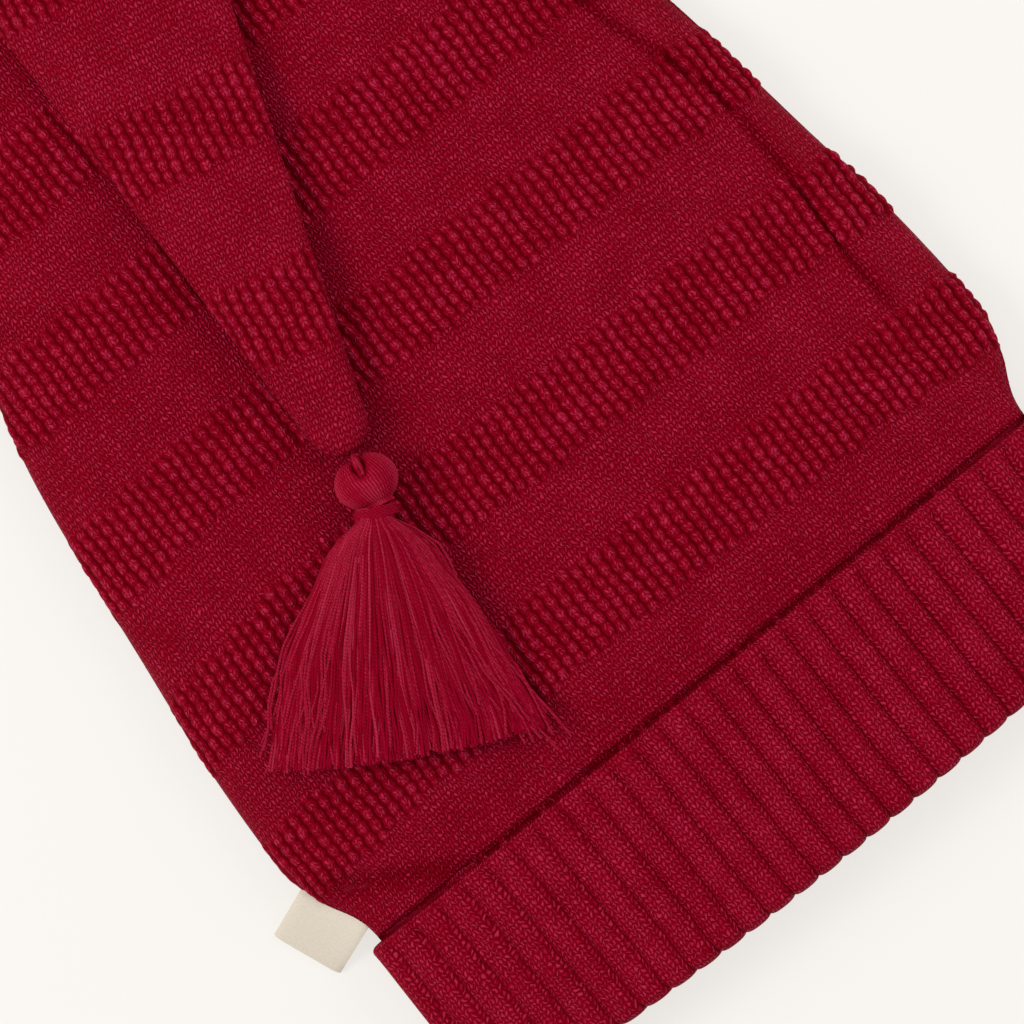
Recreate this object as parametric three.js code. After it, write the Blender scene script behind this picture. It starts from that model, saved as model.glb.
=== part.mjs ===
// Knitted stocking cap for a small child, lying flat on its back.
// The long tip is folded once over the front and ends in a tassel, and the ribbed cuff is turned up once.
// X runs along the cuff, Y from the hem towards the fold, Z up from the surface that the cap lies on.

import * as THREE from 'three';

// Cuff
const cuffWidth = 207.4;
const cuffHeight = 54.2;
const cuffThickness = 18.6;
const cuffOuterWall = 3;
const cuffInnerWall = 2.2;
const ribCount = 56;
const ribDepth = 0.9;
const hemSweep = 5;
const hemScallop = 1;

// Crown
const crownWidth = 217.2;
const crownLength = 258.8;
const crownThickness = 17.5;
const crownWall = 2.4;
const crownTuck = 8;
const bandPeriod = 41.5;
const bumpBandHeight = 20;
const firstBandAboveCuff = 21.3;
const bumpRelief = 0.35;
const seamValleyDepth = 1.1;
const creaseDepth = 1.4;

// Fold and tip
const foldThickness = 6;
const foldInsideRadius = 1.5;
const tipLean = THREE.MathUtils.degToRad(11.2);
const tipLength = 159;
const tipRootWidth = 66;
const tipEndWidth = 12.7;
const tipEndThickness = 8.4;
const tipEndRounding = 7.5;

// Tassel and its tie
const headWidth = 15.6;
const headLength = 13.5;
const headThickness = 11;
const neckWidth = 9.2;
const neckThickness = 7.8;
const skirtLength = 61;
const skirtSpread = 64;
const skirtRootThickness = 9;
const skirtEndThickness = 5;
const skirtTurn = THREE.MathUtils.degToRad(33);
const lockCount = 9;
const lockDepth = 0.8;
const skirtEndCut = 5;
const tieWidth = 3.2;
const tieThickness = 1.2;

// Label
const labelWidth = 18.7;
const labelReach = 12.5;
const labelThickness = 1;
const labelAboveCuff = 13.1;

// Clearances: between two layers of the cuff, and between pieces that lie on each other
const layerGap = 0.4;
const restGap = 0.35;

// The crown's rear lies on the surface at the origin, 102.3 mm above the cuff's upper edge
const cuffTopY = -102.3;
const cuffHemY = cuffTopY - cuffHeight;
const foldY = cuffTopY + crownLength;

const knitRed = 0x7f0a20;
const knit = new THREE.MeshStandardMaterial({ color: knitRed, roughness: 0.9, metalness: 0 });
const yarn = new THREE.MeshStandardMaterial({ color: 0x890d24, roughness: 0.6, metalness: 0 });
const cotton = new THREE.MeshStandardMaterial({ color: 0xd8cfc0, roughness: 0.85, metalness: 0 });

// Crown sections from the cuff's upper edge (0) to the fold (1):
// half width as a share of crownWidth, height of the front and of the side edge as shares of crownThickness
const crownSections = [
  { at: -0.04, halfWidth: 0.452, front: 0.86, side: 0.43 },
  { at: 0.025, halfWidth: 0.473, front: 0.9, side: 0.4 },
  { at: 0.085, halfWidth: 0.495, front: 0.95, side: 0.37 },
  { at: 0.11, halfWidth: 0.5, front: 0.97, side: 0.36 },
  { at: 0.209, halfWidth: 0.494, front: 1, side: 0.36 },
  { at: 0.286, halfWidth: 0.4835, front: 1, side: 0.36 },
  { at: 0.345, halfWidth: 0.474, front: 1, side: 0.36 },
  { at: 0.404, halfWidth: 0.465, front: 0.99, side: 0.36 },
  { at: 0.505, halfWidth: 0.449, front: 0.95, side: 0.35 },
  { at: 0.578, halfWidth: 0.4305, front: 0.9, side: 0.34 },
  { at: 0.671, halfWidth: 0.3915, front: 0.79, side: 0.31 },
  { at: 0.764, halfWidth: 0.336, front: 0.66, side: 0.27 },
  { at: 0.856, halfWidth: 0.2715, front: 0.51, side: 0.22 },
  { at: 0.93, halfWidth: 0.212, front: 0.4, side: 0.19 },
  { at: 0.975, halfWidth: 0.166, front: 0.345, side: 0.17 },
];

// The right-hand seam's valley: where it runs, as a share of the half width, and its depth from 0 to 1
const seamValley = [
  { at: 0.1, share: 0.85, depth: 0 },
  { at: 0.225, share: 0.852, depth: 1 },
  { at: 0.328, share: 0.893, depth: 1 },
  { at: 0.42, share: 0.907, depth: 1 },
  { at: 0.53, share: 0.853, depth: 1 },
  { at: 0.8, share: 0.84, depth: 0 },
];

// The slack crease above the cuff on the left: where it starts and ends, as shares of the half width and length
const slackCrease = { from: { across: -0.97, at: 0.045 }, to: { across: -0.68, at: 0.02 } };

// Tassel skirt from the neck (0) to the cut ends (1): reach to each side as shares of skirtSpread
const skirtSections = [
  { at: 0.03, left: 0.085, right: 0.085 },
  { at: 0.07, left: 0.14, right: 0.14 },
  { at: 0.13, left: 0.195, right: 0.185 },
  { at: 0.23, left: 0.24, right: 0.245 },
  { at: 0.34, left: 0.3, right: 0.317 },
  { at: 0.52, left: 0.38, right: 0.394 },
  { at: 0.7, left: 0.42, right: 0.468 },
  { at: 0.86, left: 0.455, right: 0.54 },
  { at: 0.94, left: 0.475, right: 0.56 },
];

// Smooth reading of one column of a table whose rows are in order of at
function readTable(table, column, at) {
  const last = table.length - 1;
  if (at <= table[0].at) return table[0][column];
  if (at >= table[last].at) return table[last][column];
  const row = table.findIndex((entry) => entry.at > at) - 1;
  const slope = (index) => {
    const before = table[Math.max(index - 1, 0)];
    const after = table[Math.min(index + 1, last)];
    return (after[column] - before[column]) / (after.at - before.at);
  };
  const span = table[row + 1].at - table[row].at;
  const t = (at - table[row].at) / span;
  const here = table[row][column];
  const next = table[row + 1][column];
  const bend = t * t * (3 - 2 * t);
  const rise = span * (slope(row) * t * (1 - t) ** 2 - slope(row + 1) * t * t * (1 - t));
  return here + (next - here) * bend + rise;
}

const mix = THREE.MathUtils.lerp;
const smooth = (from, to, at) => THREE.MathUtils.smoothstep(at, from, to);
const hump = (distance, reach) => Math.exp(-((distance / reach) ** 2));
const signedPower = (value, power) => Math.sign(value) * Math.abs(value) ** power;

// How far the knit stands proud at y: 1 on a bump band, 0 on plain stocking stitch
const bandRamp = 3;
function bumpBand(y) {
  const along = THREE.MathUtils.euclideanModulo(y - cuffTopY - firstBandAboveCuff, bandPeriod);
  const rising = smooth(-bandRamp / 2, bandRamp / 2, along);
  const falling = smooth(bumpBandHeight - bandRamp / 2, bumpBandHeight + bandRamp / 2, along);
  const next = smooth(bandPeriod - bandRamp / 2, bandPeriod + bandRamp / 2, along);
  return rising - falling + next;
}

// The crown's section at y, without stripes or dents; inside the cuff it takes the cuff's inner size
const cuffClearance = cuffOuterWall + layerGap;
const cuffBlendLength = 16;
const rearClampShare = 1.03;
function crownSection(y) {
  const at = (y - cuffTopY) / crownLength;
  const free = smooth(cuffTopY, cuffTopY + cuffBlendLength, y);
  const floor = cuffClearance * (1 - free);
  const half = cuffWidth / 2 - cuffClearance;
  const halfWidth = mix(half, readTable(crownSections, 'halfWidth', at) * crownWidth, free);
  const front = mix(cuffThickness - cuffClearance, readTable(crownSections, 'front', at) * crownThickness, free);
  const side = mix(cuffThickness / 2, readTable(crownSections, 'side', at) * crownThickness, free);
  return { floor, halfWidth, front, side };
}

// The fold's line is turned by half the tip's lean, and the sections turn to it over the crown's upper end
const foldTurn = -tipLean / 2;
const foldHalf = foldThickness / 2;
const foldSpineRadius = foldHalf + foldInsideRadius;
const foldOutward = new THREE.Vector3(-Math.sin(foldTurn), Math.cos(foldTurn), 0);
const foldStart = new THREE.Vector3(0, foldY, foldHalf).addScaledVector(foldOutward, -foldSpineRadius - foldHalf);
const turnLength = 50;
const crownTurn = (y) => foldTurn * smooth(foldStart.y - turnLength, foldStart.y, y);

const crownFrontPower = 2.5;
const crownRearPower = 4;

// Height of the crown's front at a place, without stripes or dents
function crownFront(x, y) {
  const section = crownSection(y - x * Math.tan(crownTurn(y)));
  const share = Math.min(Math.abs(x) / section.halfWidth, 1);
  const up = (1 - share ** crownFrontPower) ** (1 / crownFrontPower);
  return section.side + (section.front - section.side) * up;
}

// How deep the front sinks along the right-hand seam's valley and the slack crease
const valleyReach = 0.05;
const creaseReach = 6;
function frontDent(x, y, halfWidth) {
  const at = (y - cuffTopY) / crownLength;
  const fromValley = x / halfWidth - readTable(seamValley, 'share', at);
  const valley = seamValleyDepth * readTable(seamValley, 'depth', at) * hump(fromValley, valleyReach);
  const { from, to } = slackCrease;
  const along = THREE.MathUtils.clamp((x / halfWidth - from.across) / (to.across - from.across), 0, 1);
  const creaseX = mix(from.across, to.across, along) * halfWidth;
  const creaseY = cuffTopY + mix(from.at, to.at, along) * crownLength;
  return valley + creaseDepth * hump(Math.hypot(x - creaseX, y - creaseY), creaseReach);
}

// One ring of a flattened tube. The front half lies on the side of normal, the rear half on the other side.
// inset moves the ring inwards by a wall, and a floor keeps the rear from sinking below it.
const roundAngles = (count) => Array.from({ length: count }, (_, k) => (2 * Math.PI * k) / count);
const crownAngles = roundAngles(34);

function flatRing(spec, angles, inset) {
  return angles.map((angle) => {
    const isFront = Math.sin(angle) >= 0;
    const power = isFront ? spec.frontPower : spec.rearPower;
    const depth = isFront ? spec.front : spec.rear;
    const across = (spec.halfWidth - inset) * signedPower(Math.cos(angle), 2 / power);
    let up = (depth - inset) * signedPower(Math.sin(angle), 2 / power);
    if (isFront && spec.dent) up -= spec.dent(across) * Math.sin(angle);
    if (!isFront && spec.floor !== undefined) up = Math.max(up, spec.floor + inset - spec.centre.z);
    const point = spec.centre.clone().addScaledVector(spec.across, across).addScaledVector(spec.normal, up);
    if (spec.drape) point.z += spec.drape(point.x, point.y);
    return point;
  });
}

// Closed faceted solid through a row of rings: a pole at each end, or the last ring joined to the first
function solidThrough(name, rings, poles, material) {
  const count = rings[0].length;
  const positions = rings.flat();
  const faces = [];
  const corner = (ring, k) => (ring % rings.length) * count + (k % count);
  const spans = poles ? rings.length - 1 : rings.length;
  for (let ring = 0; ring < spans; ring += 1) {
    for (let k = 0; k < count; k += 1) {
      faces.push(corner(ring, k), corner(ring + 1, k), corner(ring + 1, k + 1));
      faces.push(corner(ring, k), corner(ring + 1, k + 1), corner(ring, k + 1));
    }
  }
  if (poles) {
    const first = positions.push(poles.first) - 1;
    const last = positions.push(poles.last) - 1;
    for (let k = 0; k < count; k += 1) {
      faces.push(first, corner(0, k), corner(0, k + 1));
      faces.push(corner(rings.length - 1, k), last, corner(rings.length - 1, k + 1));
    }
  }
  const geometry = new THREE.BufferGeometry();
  geometry.setAttribute('position', new THREE.Float32BufferAttribute(positions.flatMap((p) => p.toArray()), 3));
  geometry.setIndex(faces);
  geometry.computeVertexNormals();
  const mesh = new THREE.Mesh(geometry, material);
  mesh.name = name;
  return mesh;
}

// Crown: body stations by y, fold stations by angle, tip stations by distance from the fold

function bodyRing(y, inset) {
  const section = crownSection(y);
  const turn = crownTurn(y);
  const clearOfCuff = smooth(cuffTopY, cuffTopY + cuffBlendLength, y);
  const relief = inset > 0 ? 0 : bumpRelief * bumpBand(y) * clearOfCuff;
  const centre = new THREE.Vector3(mix(0, foldStart.x, turn / foldTurn), y, section.side);
  const nearFold = smooth(foldStart.y - turnLength, foldStart.y, y);
  return flatRing({
    centre,
    across: new THREE.Vector3(Math.cos(turn), Math.sin(turn), 0),
    normal: new THREE.Vector3(0, 0, 1),
    halfWidth: section.halfWidth + relief,
    front: section.front - section.side + relief,
    rear: (section.side - section.floor) * mix(rearClampShare, 1, nearFold),
    frontPower: crownFrontPower,
    rearPower: mix(crownRearPower, crownFrontPower, nearFold),
    floor: section.floor,
    dent: inset > 0 ? undefined : (x) => frontDent(x, y, section.halfWidth),
  }, crownAngles, inset);
}

const foldRootHalfWidth = crownSection(foldStart.y).halfWidth;
function foldRing(angle, inset) {
  const spineShift = foldOutward.clone().multiplyScalar(foldSpineRadius * Math.sin(angle));
  const centre = foldStart.clone().add(spineShift);
  centre.z += foldSpineRadius * (1 - Math.cos(angle));
  const normal = foldOutward.clone().multiplyScalar(-Math.sin(angle));
  normal.z = Math.cos(angle);
  return flatRing({
    centre,
    across: new THREE.Vector3(Math.cos(foldTurn), Math.sin(foldTurn), 0),
    normal,
    halfWidth: mix(foldRootHalfWidth, tipRootWidth / 2, angle / Math.PI),
    front: foldHalf,
    rear: foldHalf,
    frontPower: crownFrontPower,
    rearPower: crownFrontPower,
  }, crownAngles, inset);
}

// The folded tip lies on the crown's front with a small gap that opens towards the fold
const tipDirection = new THREE.Vector3(-Math.sin(tipLean), -Math.cos(tipLean), 0);
const tipRestGap = 1.5 * restGap + bumpRelief;
const tipSettleLength = 34;
const tipUnderPower = 3;
const tipTopPower = 2.3;
const tipThickensFrom = 0.2;
const tipPlace = (distance) => foldStart.clone().addScaledVector(tipDirection, distance);

function tipRing(distance, inset) {
  const toEnd = tipLength - distance;
  const roundOff = toEnd < tipEndRounding ? Math.sqrt(1 - (1 - toEnd / tipEndRounding) ** 2) : 1;
  const width = mix(tipRootWidth, tipEndWidth, distance / tipLength) * roundOff;
  const half = mix(foldHalf, tipEndThickness / 2, smooth(tipThickensFrom, 1, distance / tipLength));
  const settled = smooth(0, tipSettleLength, distance);
  const centre = tipPlace(distance);
  const ground = crownFront(centre.x, centre.y);
  centre.z = mix(foldHalf + 2 * foldSpineRadius, ground + tipRestGap + half, settled);
  const turn = mix(foldTurn, -tipLean, smooth(0, turnLength, distance));
  return flatRing({
    centre,
    across: new THREE.Vector3(Math.cos(turn), Math.sin(turn), 0),
    normal: new THREE.Vector3(0, 0, -1),
    halfWidth: width / 2,
    front: half * roundOff,
    rear: half * roundOff,
    frontPower: mix(crownFrontPower, tipUnderPower, settled),
    rearPower: mix(crownFrontPower, tipTopPower, settled),
    drape: (x, y) => settled * (crownFront(x, y) - ground),
  }, crownAngles, inset);
}

function makeCrown() {
  const mouthY = cuffTopY - crownTuck;
  const blendShares = [0, 0.25, 0.5, 0.75, 1];
  const bodyRows = [mouthY, ...blendShares.map((share) => cuffTopY + cuffBlendLength * share)];
  const edge = bandRamp / 2;
  const bandRows = [-edge, edge, bumpBandHeight / 2, bumpBandHeight - edge, bumpBandHeight + edge];
  bandRows.push((bumpBandHeight + bandPeriod) / 2);
  for (let start = cuffTopY + firstBandAboveCuff; start < foldStart.y; start += bandPeriod) {
    const rows = bandRows.map((above) => start + above);
    bodyRows.push(...rows.filter((y) => y < foldStart.y - foldThickness));
  }
  bodyRows.push(foldStart.y);

  const foldSteps = 6;
  const foldAngles = Array.from({ length: foldSteps }, (_, k) => (Math.PI * (k + 1)) / foldSteps);
  const tipSteps = 11;
  const roundSteps = 4;
  const straightLength = tipLength - tipEndRounding;
  const tipRows = Array.from({ length: tipSteps }, (_, k) => (straightLength * (k + 1)) / tipSteps);
  for (let k = 1; k < roundSteps; k += 1) {
    tipRows.push(tipLength - tipEndRounding * (1 - Math.sin((Math.PI / 2) * (k / roundSteps))));
  }

  const outer = [
    ...bodyRows.map((y) => bodyRing(y, 0)),
    ...foldAngles.map((angle) => foldRing(angle, 0)),
    ...tipRows.map((distance) => tipRing(distance, 0)),
  ];
  const hollowEnd = straightLength - tipEndWidth;
  const inner = [
    ...bodyRows.filter((_, k) => k % 2 === 0).map((y) => bodyRing(y, crownWall)),
    ...foldAngles.map((angle) => foldRing(angle, crownWall)),
    ...tipRows.filter((distance, k) => k % 2 === 1 && distance < hollowEnd).map((d) => tipRing(d, crownWall)),
  ];
  const tipEnd = tipPlace(tipLength);
  tipEnd.z = crownFront(tipEnd.x, tipEnd.y) + tipRestGap + tipEndThickness / 2;
  const hollowTip = tipPlace(hollowEnd);
  hollowTip.z = crownFront(hollowTip.x, hollowTip.y) + tipRestGap + tipEndThickness / 2;
  return solidThrough('crown', [...inner.reverse(), ...outer], { first: hollowTip, last: tipEnd }, knit);
}

// Cuff: ribs evenly spaced round the flattened section, each a groove and a crest of two points

const ribPoints = 3;
const cuffFrontPower = 2.6;
const cuffRearPower = 4;

function evenAngles(count, halfWidth, depth) {
  const samples = 720;
  const place = (k) => {
    const angle = (2 * Math.PI * k) / samples;
    const power = Math.sin(angle) >= 0 ? cuffFrontPower : cuffRearPower;
    const x = halfWidth * signedPower(Math.cos(angle), 2 / power);
    return new THREE.Vector2(x, depth * signedPower(Math.sin(angle), 2 / power));
  };
  const lengths = [0];
  for (let k = 1; k <= samples; k += 1) lengths.push(lengths[k - 1] + place(k).distanceTo(place(k - 1)));
  return Array.from({ length: count }, (_, k) => {
    const wanted = (lengths[samples] * k) / count;
    const above = lengths.findIndex((length) => length > wanted);
    const part = (wanted - lengths[above - 1]) / (lengths[above] - lengths[above - 1]);
    return (2 * Math.PI * (above - 1 + part)) / samples;
  });
}

function makeCuff() {
  const angles = evenAngles(ribCount * ribPoints, cuffWidth / 2, cuffThickness / 2);
  const half = cuffThickness / 2;
  const isGroove = (k) => k % ribPoints === 0;

  // A row at height y with its inset from the outer face; ribs fades the grooves, hem follows the swept hem
  const row = ({ y, inset, ribs, hem }) => {
    const ring = angles.map((angle, k) => {
      const sunk = inset + (isGroove(k) ? ribDepth * ribs : 0);
      const point = flatRing({
        centre: new THREE.Vector3(0, y, half),
        across: new THREE.Vector3(1, 0, 0),
        normal: new THREE.Vector3(0, 0, 1),
        halfWidth: cuffWidth / 2,
        front: half,
        rear: half * rearClampShare,
        frontPower: cuffFrontPower,
        rearPower: cuffRearPower,
        floor: 0,
      }, [angle], sunk)[0];
      const sweep = hemSweep * Math.abs(point.x / (cuffWidth / 2)) ** 2;
      point.y += hem * (sweep + (isGroove(k) ? hemScallop * ribs : 0));
      return point;
    });
    return ring;
  };

  const bothLayers = cuffOuterWall + layerGap + cuffInnerWall;
  const hemRound = bothLayers / 2;
  const topRound = cuffOuterWall / 4;
  const ribsFadeLength = 4;
  const innerTopY = cuffTopY - crownTuck - restGap;
  const slotEndY = cuffHemY + hemRound + hemSweep;
  const rows = [
    { y: cuffHemY, inset: hemRound * 0.7, ribs: 1, hem: 1 },
    { y: cuffHemY + hemRound * 0.8, inset: 0, ribs: 1, hem: 1 },
    { y: cuffTopY - ribsFadeLength, inset: 0, ribs: 1, hem: 0 },
    { y: cuffTopY - topRound, inset: topRound / 3, ribs: 0.2, hem: 0 },
    { y: cuffTopY, inset: cuffOuterWall * 0.5, ribs: 0, hem: 0 },
    { y: cuffTopY - topRound, inset: cuffOuterWall, ribs: 0, hem: 0 },
    { y: slotEndY, inset: cuffOuterWall, ribs: 0, hem: 0 },
    { y: slotEndY, inset: cuffOuterWall + layerGap, ribs: 0, hem: 0 },
    { y: innerTopY, inset: cuffOuterWall + layerGap, ribs: 0, hem: 0 },
    { y: innerTopY, inset: bothLayers, ribs: 0, hem: 0 },
    { y: cuffHemY + hemRound, inset: bothLayers, ribs: 0, hem: 1 },
  ];
  return solidThrough('cuff', rows.map(row), null, knit);
}

// Tassel: it hangs from the tip's end and lies on the crown, and its skirt spreads to the lower left

const tasselAngles = roundAngles(40);
const tieAngles = roundAngles(20);
const tasselGap = bumpRelief + restGap;
const tasselTopPower = 2.2;
const tasselUnderPower = 2.6;
const neckFromHeadCentre = 0.48 * headLength;
const tipEndPlace = tipPlace(tipLength);
const headCentre = tipEndPlace.clone();
headCentre.addScaledVector(tipDirection, headLength / 2 + restGap);
const neckTurn = (tipLean + skirtTurn) / 2;
const neckCentre = headCentre.clone();
neckCentre.x -= Math.sin(neckTurn) * neckFromHeadCentre;
neckCentre.y -= Math.cos(neckTurn) * neckFromHeadCentre;
const skirtOpensBy = 0.15;
const skirtDirection = new THREE.Vector3(-Math.sin(skirtTurn), -Math.cos(skirtTurn), 0);

function tasselRing({ centre, turn, left, right, thickness, lift, locks, cutBack, angles = tasselAngles }) {
  const across = new THREE.Vector3(-Math.cos(turn), Math.sin(turn), 0);
  const middle = centre.clone().addScaledVector(across, (left - right) / 2);
  const forward = new THREE.Vector3(-Math.sin(turn), -Math.cos(turn), 0);
  const half = thickness / 2;
  const ground = crownFront(middle.x, middle.y);
  middle.z = ground + tasselGap + lift + half;
  const halfWidth = (left + right) / 2;
  const ring = flatRing({
    centre: middle,
    across,
    normal: new THREE.Vector3(0, 0, 1),
    halfWidth,
    front: half,
    rear: half,
    frontPower: tasselTopPower,
    rearPower: tasselUnderPower,
    drape: (x, y) => crownFront(x, y) - ground,
  }, angles, 0);
  ring.forEach((point, k) => {
    const share = Math.cos(angles[k]);
    const onTop = Math.max(Math.sin(angles[k]), 0);
    const wave = Math.abs(Math.sin((Math.PI * lockCount * (share + 1)) / 2));
    point.z -= lockDepth * locks * (1 - wave) * onTop;
    point.addScaledVector(forward, -cutBack * share * share - lockDepth * locks * (1 - wave));
  });
  return ring;
}

function makeTassel() {
  const rings = [];
  const headRows = 6;
  for (let k = 1; k <= headRows; k += 1) {
    const angle = (Math.PI * k) / (headRows + 1);
    const belowMiddle = k > headRows / 2;
    const width = headWidth * Math.max(Math.sin(angle), belowMiddle ? neckWidth / headWidth : 0);
    const thickness = headThickness * Math.max(Math.sin(angle), belowMiddle ? neckThickness / headThickness : 0);
    rings.push(tasselRing({
      centre: headCentre.clone().addScaledVector(tipDirection, (-headLength / 2) * Math.cos(angle)),
      turn: tipLean,
      left: width / 2,
      right: width / 2,
      thickness,
      lift: (headThickness - thickness) / 2,
      locks: 0,
      cutBack: 0,
    }));
  }
  const neckLift = (headThickness - neckThickness) / 2;
  const neckRow = (along) => tasselRing({
    centre: neckCentre.clone().addScaledVector(skirtDirection, along),
    turn: neckTurn,
    left: neckWidth / 2,
    right: neckWidth / 2,
    thickness: neckThickness,
    lift: neckLift,
    locks: 0,
    cutBack: 0,
  });
  rings.push(neckRow(0));
  rings.push(neckRow(tieWidth));
  const skirtRow = (at, cutBack) => {
    const opened = smooth(0, skirtOpensBy, at);
    return tasselRing({
      centre: neckCentre.clone().addScaledVector(skirtDirection, tieWidth + at * (skirtLength - tieWidth)),
      turn: skirtTurn,
      left: readTable(skirtSections, 'left', at) * skirtSpread,
      right: readTable(skirtSections, 'right', at) * skirtSpread,
      thickness: mix(skirtRootThickness, skirtEndThickness, at),
      lift: neckLift * (1 - opened),
      locks: opened,
      cutBack,
    });
  };
  skirtSections.forEach(({ at }) => rings.push(skirtRow(at, 0)));
  rings.push(skirtRow(1, skirtEndCut));
  const top = headCentre.clone().addScaledVector(tipDirection, -headLength / 2);
  top.z = crownFront(top.x, top.y) + tasselGap + headThickness / 2;
  const end = neckCentre.clone().addScaledVector(skirtDirection, skirtLength);
  end.z = crownFront(end.x, end.y) + tasselGap + skirtEndThickness / 2;
  return solidThrough('tassel', rings, { first: top, last: end }, yarn);
}

// Tie: a binding wound round the tassel's neck, clear of it by the resting gap
function makeTasselTie() {
  const inner = restGap * 0.6;
  const outer = inner + tieThickness;
  const middle = (inner + outer) / 2;
  const edge = tieWidth * 0.1;
  const row = (along, grow) => tasselRing({
    centre: neckCentre.clone().addScaledVector(skirtDirection, along),
    turn: neckTurn,
    left: neckWidth / 2 + grow,
    right: neckWidth / 2 + grow,
    thickness: neckThickness + 2 * grow,
    lift: (headThickness - neckThickness) / 2 - grow,
    locks: 0,
    cutBack: 0,
    angles: tieAngles,
  });
  const rows = [
    row(edge, middle),
    row(tieWidth * 0.25, outer),
    row(tieWidth * 0.75, outer),
    row(tieWidth - edge, middle),
    row(tieWidth * 0.5, inner),
  ];
  return solidThrough('tassel_tie', rows, null, yarn);
}

// Label: a woven tab caught in the left side seam, drooping to the surface. Its root follows the crown's edge.
function makeLabel() {
  const middleY = cuffTopY + labelAboveCuff;
  const edge = (y) => {
    const section = crownSection(y);
    return new THREE.Vector3(-section.halfWidth - bumpRelief - restGap, y, section.side);
  };
  const slope = edge(middleY + labelWidth / 2).sub(edge(middleY - labelWidth / 2)).setZ(0).normalize();
  const outward = new THREE.Vector3(-slope.y, slope.x, 0);
  const outerEnd = edge(middleY).addScaledVector(outward, labelReach);
  const acrossSteps = 4;
  const reachSteps = 5;
  const rings = [];
  for (let k = 0; k <= acrossSteps; k += 1) {
    const across = labelWidth * (k / acrossSteps - 0.5);
    const root = edge(middleY + across * slope.y);
    const end = outerEnd.clone().addScaledVector(slope, across);
    const top = [];
    const bottom = [];
    for (let step = 0; step <= reachSteps; step += 1) {
      const share = step / reachSteps;
      const point = root.clone().lerp(end, share);
      point.z = mix(root.z, restGap + labelThickness / 2, smooth(0, 1, share));
      top.push(point.clone().setZ(point.z + labelThickness / 2));
      bottom.unshift(point.clone().setZ(point.z - labelThickness / 2));
    }
    rings.push([...top, ...bottom]);
  }
  const middleOf = (ring) => ring.reduce((sum, p) => sum.add(p), new THREE.Vector3()).divideScalar(ring.length);
  const poles = { first: middleOf(rings[0]), last: middleOf(rings[acrossSteps]) };
  return solidThrough('label', rings, poles, cotton);
}

const cap = new THREE.Group();
cap.name = 'stocking_cap';
cap.add(makeCrown(), makeCuff(), makeTassel(), makeTasselTie(), makeLabel());

export default cap;
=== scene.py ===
import math

import bpy
import numpy as np
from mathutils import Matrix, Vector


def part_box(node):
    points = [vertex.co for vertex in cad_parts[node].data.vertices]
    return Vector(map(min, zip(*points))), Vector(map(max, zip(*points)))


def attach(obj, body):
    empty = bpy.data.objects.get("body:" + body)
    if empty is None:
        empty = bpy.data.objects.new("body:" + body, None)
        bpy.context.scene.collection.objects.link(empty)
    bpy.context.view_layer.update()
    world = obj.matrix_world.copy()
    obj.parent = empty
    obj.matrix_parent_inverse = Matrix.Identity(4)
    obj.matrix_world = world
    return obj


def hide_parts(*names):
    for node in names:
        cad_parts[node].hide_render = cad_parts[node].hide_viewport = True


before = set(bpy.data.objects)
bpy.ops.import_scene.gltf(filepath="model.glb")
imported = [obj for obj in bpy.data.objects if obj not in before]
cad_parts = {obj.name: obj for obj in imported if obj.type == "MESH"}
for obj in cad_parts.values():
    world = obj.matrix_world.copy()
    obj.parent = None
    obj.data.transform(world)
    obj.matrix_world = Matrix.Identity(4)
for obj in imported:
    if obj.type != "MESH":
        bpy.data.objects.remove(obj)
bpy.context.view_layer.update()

MM = 0.001


# Crown
# A cotton knit tube in stripes, two panels seamed at the sides: plain stocking stitch between bands of
# raised bumps. The wales stay upright and are cut by the seams, and the panels close towards the fold.

# Sizes in millimetres, from the frame where it holds them
cuff_low, cuff_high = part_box("cuff")
hem_y = cuff_low[1] / MM
cuff_top_y = cuff_high[1] / MM
cuff_thickness = cuff_high[2] / MM
cuff_half_width = 103.7
cuff_outer_wall = 3.0
layer_gap = 0.4
cuff_clearance = cuff_outer_wall + layer_gap
cuff_blend_length = 16.0
crown_width = 217.2
crown_length = 258.8
crown_thickness = 17.5
crown_wall = 2.4
crown_tuck = 8.0
band_period = 41.5
bump_band_height = 20.0
first_band_above_cuff = 21.3
front_power = 2.5
rear_power = 4.0
rear_flatness = 1.03
fold_thickness = 6.0
fold_inside_radius = 1.5
tip_lean = math.radians(11.2)

# Crown sections from the cuff's upper edge (0) to the fold (1): half width as a share of the crown's width,
# height of the front and of the side edge as shares of its thickness
crown_sections = {
    "at": (-0.04, 0.025, 0.085, 0.11, 0.209, 0.286, 0.345, 0.404,
           0.505, 0.578, 0.671, 0.764, 0.856, 0.93, 0.975),
    "half_width": (0.452, 0.473, 0.495, 0.5, 0.494, 0.4835, 0.474, 0.465,
                   0.449, 0.4305, 0.3915, 0.336, 0.2715, 0.212, 0.166),
    "front": (0.86, 0.9, 0.95, 0.97, 1, 1, 1, 0.99, 0.95, 0.9, 0.79, 0.66, 0.51, 0.4, 0.345),
    "side": (0.43, 0.4, 0.37, 0.36, 0.36, 0.36, 0.36, 0.36, 0.35, 0.34, 0.31, 0.27, 0.22, 0.19, 0.17),
}
seam_valley = {
    "at": (0.15, 0.225, 0.328, 0.42, 0.53, 0.7),
    "share": (0.85, 0.852, 0.893, 0.907, 0.853, 0.84),
}

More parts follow.
